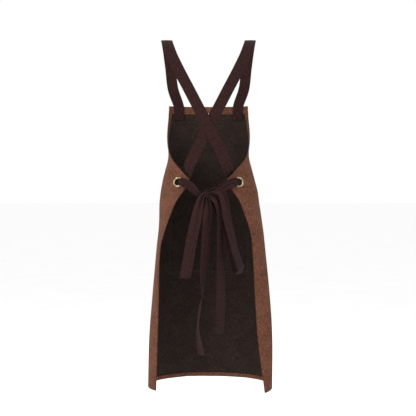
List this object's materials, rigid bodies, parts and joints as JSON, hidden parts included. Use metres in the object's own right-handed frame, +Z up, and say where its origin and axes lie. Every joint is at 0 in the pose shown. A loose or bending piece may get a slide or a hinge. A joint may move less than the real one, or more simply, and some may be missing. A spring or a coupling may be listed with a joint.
{
  "type": "butcher apron",
  "caption": "Full-length cloth butcher apron with cross-back tape straps that run through brass eyelets at the wing corners and tie in a bow at the back.",
  "frame": {"origin": "midway between the two places where the straps rest on the wearer's shoulders", "axes": "+Z up, +Y the way the wearer faces, +X to the wearer's right"},
  "size_m": [0.4123, 0.2805, 1.104],
  "materials": {
    "cloth_outside": "woven, slightly flecked",
    "cloth_inside": "woven, dull",
    "tape": "twill tape",
    "antique_brass": "satin, slightly tarnished",
    "label": "smooth"
  },
  "bodies": {
    "apron": {"apron_panel": "cloth_outside", "bib_top_hem": "cloth_inside", "bottom_hem": "cloth_inside", "front_pocket": "cloth_outside", "front_pocket_hem": "cloth_outside", "care_label": "label", "armhole_hem_left": "cloth_inside", "armhole_hem_right": "cloth_inside", "side_hem_left": "cloth_inside", "side_hem_right": "cloth_inside", "corner_patch_left": "cloth_inside", "corner_patch_right": "cloth_inside", "eyelet_left": "antique_brass", "eyelet_right": "antique_brass", "eyelet_washer_left": "antique_brass", "eyelet_washer_right": "antique_brass", "shoulder_strap_left": "tape", "shoulder_strap_right": "tape", "bow_knot": "tape"},
    "loop_left": {"bow_loop_left": "tape"},
    "loop_right": {"bow_loop_right": "tape"},
    "tail_left": {"tie_tail_left": "tape"},
    "tail_right": {"tie_tail_right": "tape"}
  },
  "joints": [
    {"name": "loop_left_swing", "type": "hinge", "parent": "apron", "child": "loop_left", "pos_m": [-0.018, -0.119, -0.49], "axis": [-1, 0, 0], "range_deg": [-5, 60]},
    {"name": "loop_right_swing", "type": "hinge", "parent": "apron", "child": "loop_right", "pos_m": [0.006, -0.119, -0.49], "axis": [-1, 0, 0], "range_deg": [-5, 60]},
    {"name": "tail_left_swing", "type": "hinge", "parent": "apron", "child": "tail_left", "pos_m": [-0.01, -0.119, -0.49], "axis": [-1, 0, 0], "range_deg": [-5, 60]},
    {"name": "tail_right_swing", "type": "hinge", "parent": "apron", "child": "tail_right", "pos_m": [-0.002, -0.119, -0.49], "axis": [-1, 0, 0], "range_deg": [-5, 60]}
  ]
}
